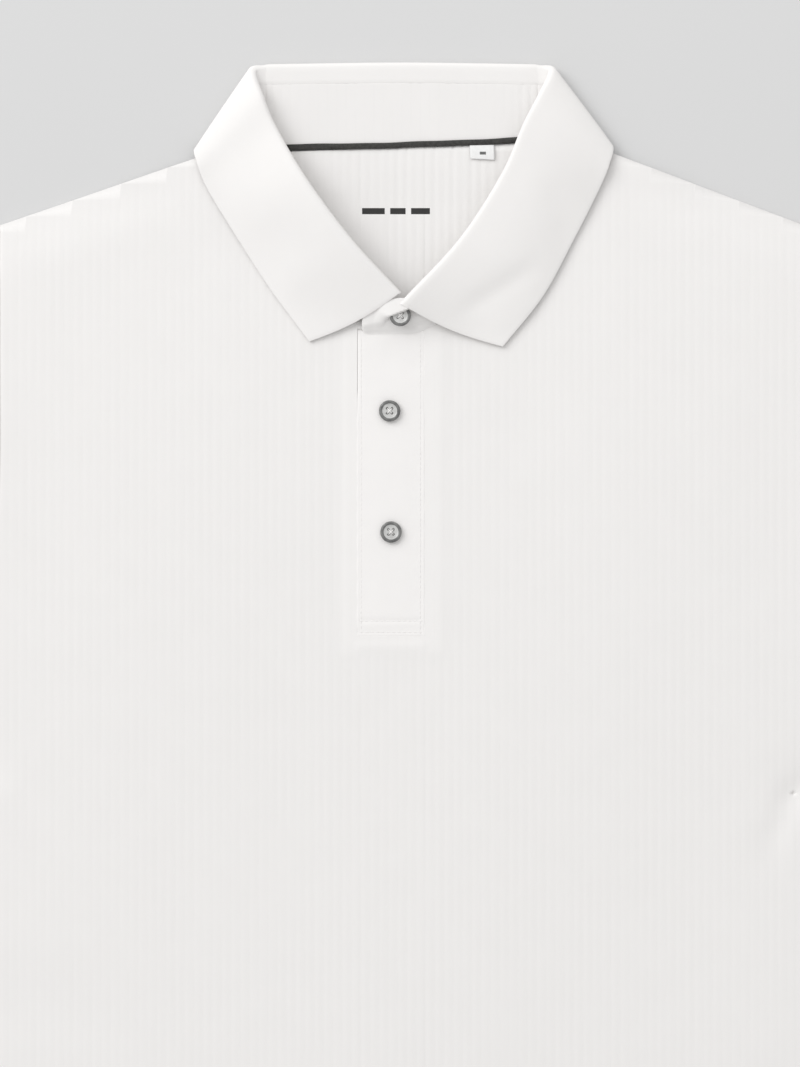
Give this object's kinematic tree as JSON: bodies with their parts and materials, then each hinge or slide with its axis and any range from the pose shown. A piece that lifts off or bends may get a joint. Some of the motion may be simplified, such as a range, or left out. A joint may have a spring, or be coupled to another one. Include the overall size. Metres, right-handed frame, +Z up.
{
  "type": "polo shirt",
  "caption": "Men's short-sleeved polo shirt in white ribbed knit, laid flat and buttoned, with a smooth folded collar, a stitched placket and black neck tape.",
  "frame": {"origin": "on the flat underside of the back, on the neck's centre line, 340 mm below the level of the side of the neck", "axes": "+Z up from the surface it lies on, out of the front; +Y towards the collar; +X to the right of someone who looks at the front"},
  "size_m": [0.852, 0.7631, 0.0201],
  "materials": {
    "ribbed_knit": "matt white knit with fine lengthways ribs",
    "smooth_cloth": "matt white close smooth cloth",
    "black_tape": "matt black woven tape",
    "label_cloth": "satin white woven label",
    "button_plastic": "pale grey face with a dark rim, soft gloss"
  },
  "bodies": {
    "root": {"front_body": "ribbed_knit", "back_body": "ribbed_knit", "sleeve_left": "ribbed_knit", "sleeve_right": "ribbed_knit", "collar_leaf": "smooth_cloth", "collar_stand": "ribbed_knit", "placket_top": "smooth_cloth", "placket_under": "smooth_cloth", "neck_tape": "black_tape", "size_label": "label_cloth", "button_collar": "button_plastic", "button_upper": "button_plastic", "button_lower": "button_plastic"}
  },
  "joints": []
}
